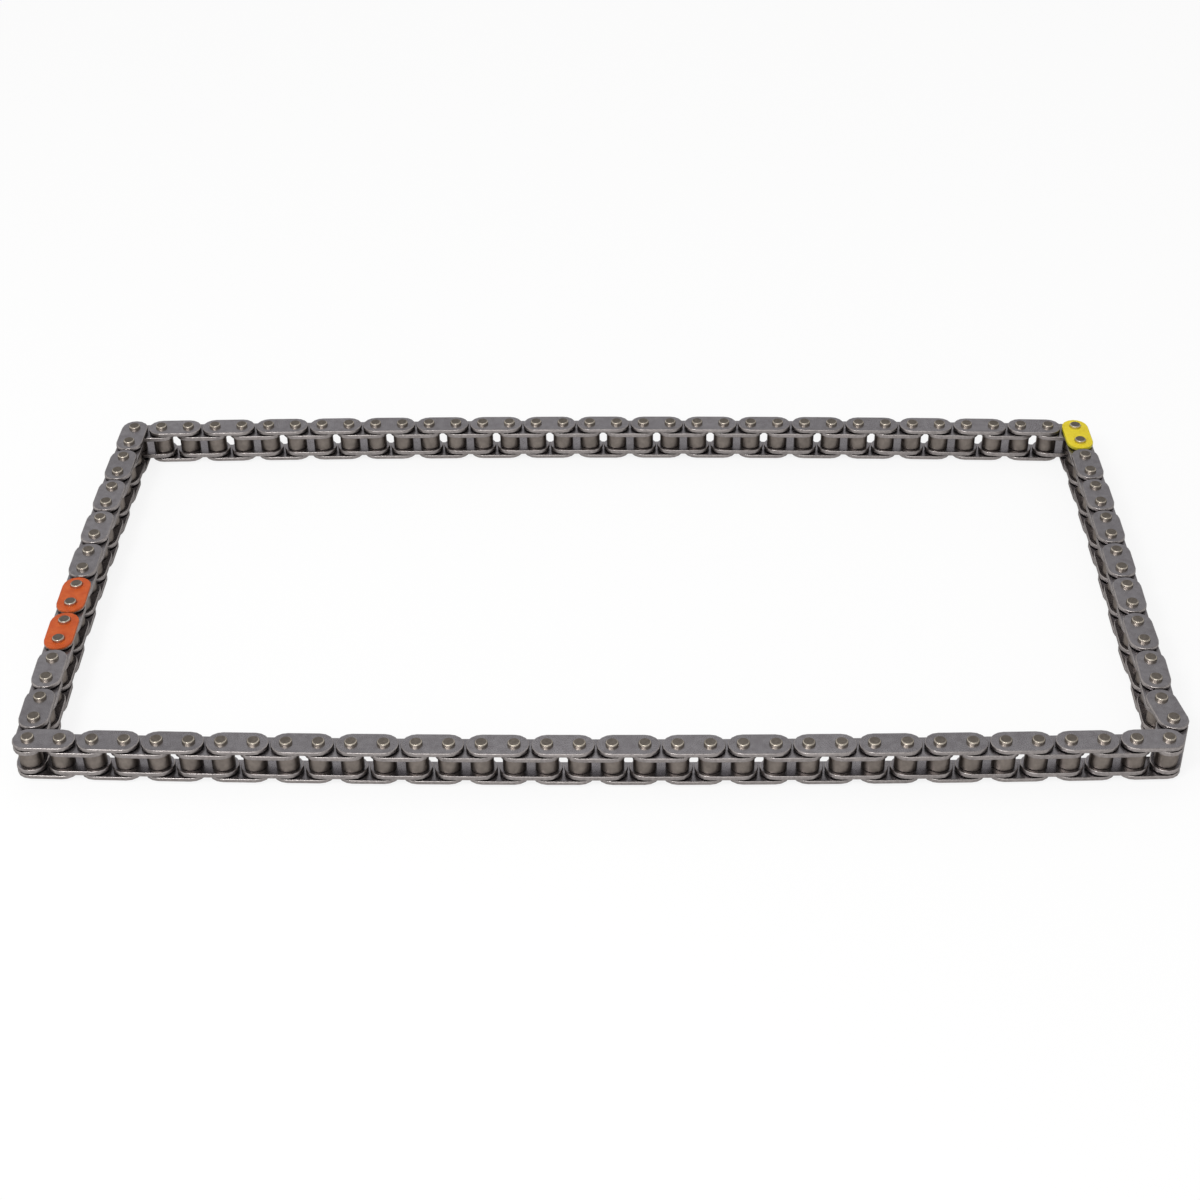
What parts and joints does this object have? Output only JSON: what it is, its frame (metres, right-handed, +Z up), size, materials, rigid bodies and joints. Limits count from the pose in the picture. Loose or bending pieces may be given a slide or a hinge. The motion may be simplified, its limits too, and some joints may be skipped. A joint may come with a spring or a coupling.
{
  "type": "timing chain",
  "caption": "Endless single-strand roller chain for an engine timing drive, laid as a bowed rectangular loop, with painted timing-mark plates.",
  "frame": {"origin": "middle of the loop on the plane that its lower pin ends stand on", "axes": "+X along the long rows, +Y from the front row to the back row, +Z up along the pins"},
  "size_m": [0.3466, 0.1858, 0.0139],
  "materials": {
    "chain_steel": "tumbled, satin, lightly oiled",
    "yellow_paint": "satin marking paint",
    "orange_paint": "satin marking paint"
  },
  "bodies": {
    "front_unit_01": {"front_unit_01": "chain_steel"},
    "front_unit_02": {"front_unit_02": "chain_steel"},
    "front_unit_03": {"front_unit_03": "chain_steel"},
    "front_unit_04": {"front_unit_04": "chain_steel"},
    "front_unit_05": {"front_unit_05": "chain_steel"},
    "front_unit_06": {"front_unit_06": "chain_steel"},
    "front_unit_07": {"front_unit_07": "chain_steel"},
    "front_unit_08": {"front_unit_08": "chain_steel"},
    "front_unit_09": {"front_unit_09": "chain_steel"},
    "front_unit_10": {"front_unit_10": "chain_steel"},
    "front_unit_11": {"front_unit_11": "chain_steel"},
    "front_unit_12": {"front_unit_12": "chain_steel"},
    "front_unit_13": {"front_unit_13": "chain_steel"},
    "front_unit_14": {"front_unit_14": "chain_steel"},
    "front_unit_15": {"front_unit_15": "chain_steel"},
    "front_unit_16": {"front_unit_16": "chain_steel"},
    "front_unit_17": {"front_unit_17": "chain_steel"},
    "right_unit_01": {"right_unit_01": "chain_steel"},
    "right_unit_02": {"right_unit_02": "chain_steel"},
    "right_unit_03": {"right_unit_03": "chain_steel"},
    "right_unit_04": {"right_unit_04": "chain_steel"},
    "right_unit_05": {"right_unit_05": "chain_steel"},
    "right_unit_06": {"right_unit_06": "chain_steel"},
    "right_unit_07": {"right_unit_07": "chain_steel"},
    "right_unit_08": {"right_unit_08": "chain_steel"},
    "right_unit_09": {"right_unit_09": "chain_steel", "yellow_plate": "yellow_paint"},
    "back_unit_01": {"back_unit_01": "chain_steel"},
    "back_unit_02": {"back_unit_02": "chain_steel"},
    "back_unit_03": {"back_unit_03": "chain_steel"},
    "back_unit_04": {"back_unit_04": "chain_steel"},
    "back_unit_05": {"back_unit_05": "chain_steel"},
    "back_unit_06": {"back_unit_06": "chain_steel"},
    "back_unit_07": {"back_unit_07": "chain_steel"},
    "back_unit_08": {"back_unit_08": "chain_steel"},
    "back_unit_09": {"back_unit_09": "chain_steel"},
    "back_unit_10": {"back_unit_10": "chain_steel"},
    "back_unit_11": {"back_unit_11": "chain_steel"},
    "back_unit_12": {"back_unit_12": "chain_steel"},
    "back_unit_13": {"back_unit_13": "chain_steel"},
    "back_unit_14": {"back_unit_14": "chain_steel"},
    "back_unit_15": {"back_unit_15": "chain_steel"},
    "back_unit_16": {"back_unit_16": "chain_steel"},
    "back_unit_17": {"back_unit_17": "chain_steel"},
    "left_unit_01": {"left_unit_01": "chain_steel"},
    "left_unit_02": {"left_unit_02": "chain_steel"},
    "left_unit_03": {"left_unit_03": "chain_steel"},
    "left_unit_04": {"left_unit_04": "chain_steel"},
    "left_unit_05": {"left_unit_05": "chain_steel"},
    "left_unit_06": {"left_unit_06": "chain_steel", "orange_plate_1": "orange_paint"},
    "left_unit_07": {"left_unit_07": "chain_steel", "orange_plate_2": "orange_paint"},
    "left_unit_08": {"left_unit_08": "chain_steel"},
    "left_unit_09": {"left_unit_09": "chain_steel"}
  },
  "joints": [
    {"name": "front_pivot_09", "type": "hinge", "parent": "front_unit_09", "child": "front_unit_10", "pos_m": [0.0039, -0.08831, 0.00695], "axis": [0, 0, 1], "range_deg": [-60, 60]},
    {"name": "front_pivot_10", "type": "hinge", "parent": "front_unit_10", "child": "front_unit_11", "pos_m": [0.02295, -0.08826, 0.00695], "axis": [0, 0, -1], "range_deg": [-60, 60]},
    {"name": "front_pivot_11", "type": "hinge", "parent": "front_unit_11", "child": "front_unit_12", "pos_m": [0.042, -0.08813, 0.00695], "axis": [0, 0, 1], "range_deg": [-60, 60]},
    {"name": "front_pivot_12", "type": "hinge", "parent": "front_unit_12", "child": "front_unit_13", "pos_m": [0.06105, -0.08793, 0.00695], "axis": [0, 0, -1], "range_deg": [-60, 60]},
    {"name": "front_pivot_13", "type": "hinge", "parent": "front_unit_13", "child": "front_unit_14", "pos_m": [0.0801, -0.08766, 0.00695], "axis": [0, 0, 1], "range_deg": [-60, 60]},
    {"name": "front_pivot_14", "type": "hinge", "parent": "front_unit_14", "child": "front_unit_15", "pos_m": [0.09914, -0.08732, 0.00695], "axis": [0, 0, -1], "range_deg": [-60, 60]},
    {"name": "front_pivot_15", "type": "hinge", "parent": "front_unit_15", "child": "front_unit_16", "pos_m": [0.11819, -0.08691, 0.00695], "axis": [0, 0, 1], "range_deg": [-60, 60]},
    {"name": "front_pivot_16", "type": "hinge", "parent": "front_unit_16", "child": "front_unit_17", "pos_m": [0.13723, -0.08643, 0.00695], "axis": [0, 0, -1], "range_deg": [-60, 60]},
    {"name": "front_right_corner_pivot", "type": "hinge", "parent": "front_unit_17", "child": "right_unit_01", "pos_m": [0.16579, -0.08556, 0.00695], "axis": [0, 0, 1], "range_deg": [-18, 18]},
    {"name": "right_pivot_01", "type": "hinge", "parent": "right_unit_01", "child": "right_unit_02", "pos_m": [0.16699, -0.06715, 0.00695], "axis": [0, 0, 1], "range_deg": [-60, 60]},
    {"name": "right_pivot_02", "type": "hinge", "parent": "right_unit_02", "child": "right_unit_03", "pos_m": [0.16735, -0.0481, 0.00695], "axis": [0, 0, -1], "range_deg": [-60, 60]},
    {"name": "right_pivot_03", "type": "hinge", "parent": "right_unit_03", "child": "right_unit_04", "pos_m": [0.16688, -0.02906, 0.00695], "axis": [0, 0, 1], "range_deg": [-60, 60]},
    {"name": "right_pivot_04", "type": "hinge", "parent": "right_unit_04", "child": "right_unit_05", "pos_m": [0.167, -0.01001, 0.00695], "axis": [0, 0, -1], "range_deg": [-60, 60]},
    {"name": "right_pivot_05", "type": "hinge", "parent": "right_unit_05", "child": "right_unit_06", "pos_m": [0.167, 0.00904, 0.00695], "axis": [0, 0, 1], "range_deg": [-60, 60]},
    {"name": "right_pivot_06", "type": "hinge", "parent": "right_unit_06", "child": "right_unit_07", "pos_m": [0.16688, 0.02809, 0.00695], "axis": [0, 0, -1], "range_deg": [-60, 60]},
    {"name": "right_pivot_07", "type": "hinge", "parent": "right_unit_07", "child": "right_unit_08", "pos_m": [0.16664, 0.04714, 0.00695], "axis": [0, 0, 1], "range_deg": [-60, 60]},
    {"name": "right_pivot_08", "type": "hinge", "parent": "right_unit_08", "child": "right_unit_09", "pos_m": [0.16628, 0.06619, 0.00695], "axis": [0, 0, -1], "range_deg": [-60, 60]},
    {"name": "back_right_corner_pivot", "type": "hinge", "parent": "right_unit_09", "child": "back_unit_01", "pos_m": [0.16579, 0.08523, 0.00695], "axis": [0, 0, -1], "range_deg": [-18, 18]},
    {"name": "back_pivot_01", "type": "hinge", "parent": "back_unit_01", "child": "back_unit_02", "pos_m": [0.14676, 0.08589, 0.00695], "axis": [0, 0, 1], "range_deg": [-60, 60]},
    {"name": "back_pivot_02", "type": "hinge", "parent": "back_unit_02", "child": "back_unit_03", "pos_m": [0.12771, 0.08641, 0.00695], "axis": [0, 0, -1], "range_deg": [-60, 60]},
    {"name": "back_pivot_03", "type": "hinge", "parent": "back_unit_03", "child": "back_unit_04", "pos_m": [0.10867, 0.08693, 0.00695], "axis": [0, 0, 1], "range_deg": [-60, 60]},
    {"name": "back_pivot_04", "type": "hinge", "parent": "back_unit_04", "child": "back_unit_05", "pos_m": [0.08962, 0.0873, 0.00695], "axis": [0, 0, -1], "range_deg": [-60, 60]},
    {"name": "back_pivot_05", "type": "hinge", "parent": "back_unit_05", "child": "back_unit_06", "pos_m": [0.07058, 0.08768, 0.00695], "axis": [0, 0, 1], "range_deg": [-60, 60]},
    {"name": "back_pivot_06", "type": "hinge", "parent": "back_unit_06", "child": "back_unit_07", "pos_m": [0.05153, 0.08791, 0.00695], "axis": [0, 0, -1], "range_deg": [-60, 60]},
    {"name": "back_pivot_07", "type": "hinge", "parent": "back_unit_07", "child": "back_unit_08", "pos_m": [0.03248, 0.08814, 0.00695], "axis": [0, 0, 1], "range_deg": [-60, 60]},
    {"name": "back_pivot_08", "type": "hinge", "parent": "back_unit_08", "child": "back_unit_09", "pos_m": [0.01343, 0.08823, 0.00695], "axis": [0, 0, -1], "range_deg": [-60, 60]},
    {"name": "front_pivot_08", "type": "hinge", "parent": "front_unit_09", "child": "front_unit_08", "pos_m": [-0.01515, -0.08829, 0.00695], "axis": [0, 0, 1], "range_deg": [-60, 60]},
    {"name": "front_pivot_07", "type": "hinge", "parent": "front_unit_08", "child": "front_unit_07", "pos_m": [-0.0342, -0.0882, 0.00695], "axis": [0, 0, -1], "range_deg": [-60, 60]},
    {"name": "front_pivot_06", "type": "hinge", "parent": "front_unit_07", "child": "front_unit_06", "pos_m": [-0.05325, -0.08804, 0.00695], "axis": [0, 0, 1], "range_deg": [-60, 60]},
    {"name": "front_pivot_05", "type": "hinge", "parent": "front_unit_06", "child": "front_unit_05", "pos_m": [-0.0723, -0.08781, 0.00695], "axis": [0, 0, -1], "range_deg": [-60, 60]},
    {"name": "front_pivot_04", "type": "hinge", "parent": "front_unit_05", "child": "front_unit_04", "pos_m": [-0.09135, -0.0875, 0.00695], "axis": [0, 0, 1], "range_deg": [-60, 60]},
    {"name": "front_pivot_03", "type": "hinge", "parent": "front_unit_04", "child": "front_unit_03", "pos_m": [-0.11039, -0.08713, 0.00695], "axis": [0, 0, -1], "range_deg": [-60, 60]},
    {"name": "front_pivot_02", "type": "hinge", "parent": "front_unit_03", "child": "front_unit_02", "pos_m": [-0.12944, -0.08668, 0.00695], "axis": [0, 0, 1], "range_deg": [-60, 60]},
    {"name": "front_pivot_01", "type": "hinge", "parent": "front_unit_02", "child": "front_unit_01", "pos_m": [-0.14848, -0.08616, 0.00695], "axis": [0, 0, -1], "range_deg": [-60, 60]},
    {"name": "front_left_corner_pivot", "type": "hinge", "parent": "front_unit_01", "child": "left_unit_09", "pos_m": [-0.16752, -0.08556, 0.00695], "axis": [0, 0, 1], "range_deg": [-18, 18]},
    {"name": "left_pivot_08", "type": "hinge", "parent": "left_unit_09", "child": "left_unit_08", "pos_m": [-0.168, -0.06652, 0.00695], "axis": [0, 0, 1], "range_deg": [-60, 60]},
    {"name": "left_pivot_07", "type": "hinge", "parent": "left_unit_08", "child": "left_unit_07", "pos_m": [-0.16837, -0.04747, 0.00695], "axis": [0, 0, -1], "range_deg": [-60, 60]},
    {"name": "left_pivot_06", "type": "hinge", "parent": "left_unit_07", "child": "left_unit_06", "pos_m": [-0.16861, -0.02843, 0.00695], "axis": [0, 0, 1], "range_deg": [-60, 60]},
    {"name": "left_pivot_05", "type": "hinge", "parent": "left_unit_06", "child": "left_unit_05", "pos_m": [-0.16873, -0.00938, 0.00695], "axis": [0, 0, -1], "range_deg": [-60, 60]},
    {"name": "left_pivot_04", "type": "hinge", "parent": "left_unit_05", "child": "left_unit_04", "pos_m": [-0.16873, 0.00967, 0.00695], "axis": [0, 0, 1], "range_deg": [-60, 60]},
    {"name": "left_pivot_03", "type": "hinge", "parent": "left_unit_04", "child": "left_unit_03", "pos_m": [-0.16861, 0.02872, 0.00695], "axis": [0, 0, -1], "range_deg": [-60, 60]},
    {"name": "left_pivot_02", "type": "hinge", "parent": "left_unit_03", "child": "left_unit_02", "pos_m": [-0.16837, 0.04777, 0.00695], "axis": [0, 0, 1], "range_deg": [-60, 60]},
    {"name": "left_pivot_01", "type": "hinge", "parent": "left_unit_02", "child": "left_unit_01", "pos_m": [-0.168, 0.06682, 0.00695], "axis": [0, 0, -1], "range_deg": [-60, 60]},
    {"name": "back_left_corner_pivot", "type": "hinge", "parent": "left_unit_01", "child": "back_unit_17", "pos_m": [-0.16752, 0.08586, 0.00695], "axis": [0, 0, -1], "range_deg": [-18, 18]},
    {"name": "back_pivot_16", "type": "hinge", "parent": "back_unit_17", "child": "back_unit_16", "pos_m": [-0.13895, 0.08662, 0.00695], "axis": [0, 0, 1], "range_deg": [-60, 60]},
    {"name": "back_pivot_15", "type": "hinge", "parent": "back_unit_16", "child": "back_unit_15", "pos_m": [-0.11991, 0.08711, 0.00695], "axis": [0, 0, -1], "range_deg": [-60, 60]},
    {"name": "back_pivot_14", "type": "hinge", "parent": "back_unit_15", "child": "back_unit_14", "pos_m": [-0.10086, 0.08746, 0.00695], "axis": [0, 0, 1], "range_deg": [-60, 60]},
    {"name": "back_pivot_13", "type": "hinge", "parent": "back_unit_14", "child": "back_unit_13", "pos_m": [-0.08182, 0.0878, 0.00695], "axis": [0, 0, -1], "range_deg": [-60, 60]},
    {"name": "back_pivot_12", "type": "hinge", "parent": "back_unit_13", "child": "back_unit_12", "pos_m": [-0.06277, 0.088, 0.00695], "axis": [0, 0, 1], "range_deg": [-60, 60]},
    {"name": "back_pivot_11", "type": "hinge", "parent": "back_unit_12", "child": "back_unit_11", "pos_m": [-0.04372, 0.0882, 0.00695], "axis": [0, 0, -1], "range_deg": [-60, 60]},
    {"name": "back_pivot_10", "type": "hinge", "parent": "back_unit_11", "child": "back_unit_10", "pos_m": [-0.02467, 0.08826, 0.00695], "axis": [0, 0, 1], "range_deg": [-60, 60]}
  ],
  "couplings": [
    {"joint": "front_right_corner_pivot", "follows": "front_left_corner_pivot", "ratio": 1},
    {"joint": "back_right_corner_pivot", "follows": "front_left_corner_pivot", "ratio": 1},
    {"joint": "back_left_corner_pivot", "follows": "front_left_corner_pivot", "ratio": 1},
    {"joint": "front_pivot_01", "follows": "front_pivot_02", "ratio": 1},
    {"joint": "back_pivot_01", "follows": "front_pivot_02", "ratio": 1},
    {"joint": "back_pivot_02", "follows": "front_pivot_02", "ratio": 1},
    {"joint": "front_pivot_03", "follows": "front_pivot_04", "ratio": 1},
    {"joint": "back_pivot_03", "follows": "front_pivot_04", "ratio": 1},
    {"joint": "back_pivot_04", "follows": "front_pivot_04", "ratio": 1},
    {"joint": "front_pivot_05", "follows": "front_pivot_06", "ratio": 1},
    {"joint": "back_pivot_05", "follows": "front_pivot_06", "ratio": 1},
    {"joint": "back_pivot_06", "follows": "front_pivot_06", "ratio": 1},
    {"joint": "front_pivot_07", "follows": "front_pivot_08", "ratio": 1},
    {"joint": "back_pivot_07", "follows": "front_pivot_08", "ratio": 1},
    {"joint": "back_pivot_08", "follows": "front_pivot_08", "ratio": 1},
    {"joint": "front_pivot_10", "follows": "front_pivot_09", "ratio": 1},
    {"joint": "back_pivot_10", "follows": "front_pivot_09", "ratio": 1},
    {"joint": "front_pivot_12", "follows": "front_pivot_11", "ratio": 1},
    {"joint": "back_pivot_11", "follows": "front_pivot_11", "ratio": 1},
    {"joint": "back_pivot_12", "follows": "front_pivot_11", "ratio": 1},
    {"joint": "front_pivot_14", "follows": "front_pivot_13", "ratio": 1},
    {"joint": "back_pivot_13", "follows": "front_pivot_13", "ratio": 1},
    {"joint": "back_pivot_14", "follows": "front_pivot_13", "ratio": 1},
    {"joint": "front_pivot_16", "follows": "front_pivot_15", "ratio": 1},
    {"joint": "back_pivot_15", "follows": "front_pivot_15", "ratio": 1},
    {"joint": "back_pivot_16", "follows": "front_pivot_15", "ratio": 1},
    {"joint": "right_pivot_02", "follows": "right_pivot_01", "ratio": 1},
    {"joint": "left_pivot_01", "follows": "right_pivot_01", "ratio": 1},
    {"joint": "left_pivot_02", "follows": "right_pivot_01", "ratio": 1},
    {"joint": "right_pivot_04", "follows": "right_pivot_03", "ratio": 1},
    {"joint": "left_pivot_03", "follows": "right_pivot_03", "ratio": 1},
    {"joint": "left_pivot_04", "follows": "right_pivot_03", "ratio": 1},
    {"joint": "right_pivot_05", "follows": "left_pivot_06", "ratio": 1},
    {"joint": "right_pivot_06", "follows": "left_pivot_06", "ratio": 1},
    {"joint": "left_pivot_05", "follows": "left_pivot_06", "ratio": 1},
    {"joint": "right_pivot_07", "follows": "left_pivot_08", "ratio": 1},
    {"joint": "right_pivot_08", "follows": "left_pivot_08", "ratio": 1},
    {"joint": "left_pivot_07", "follows": "left_pivot_08", "ratio": 1}
  ]
}
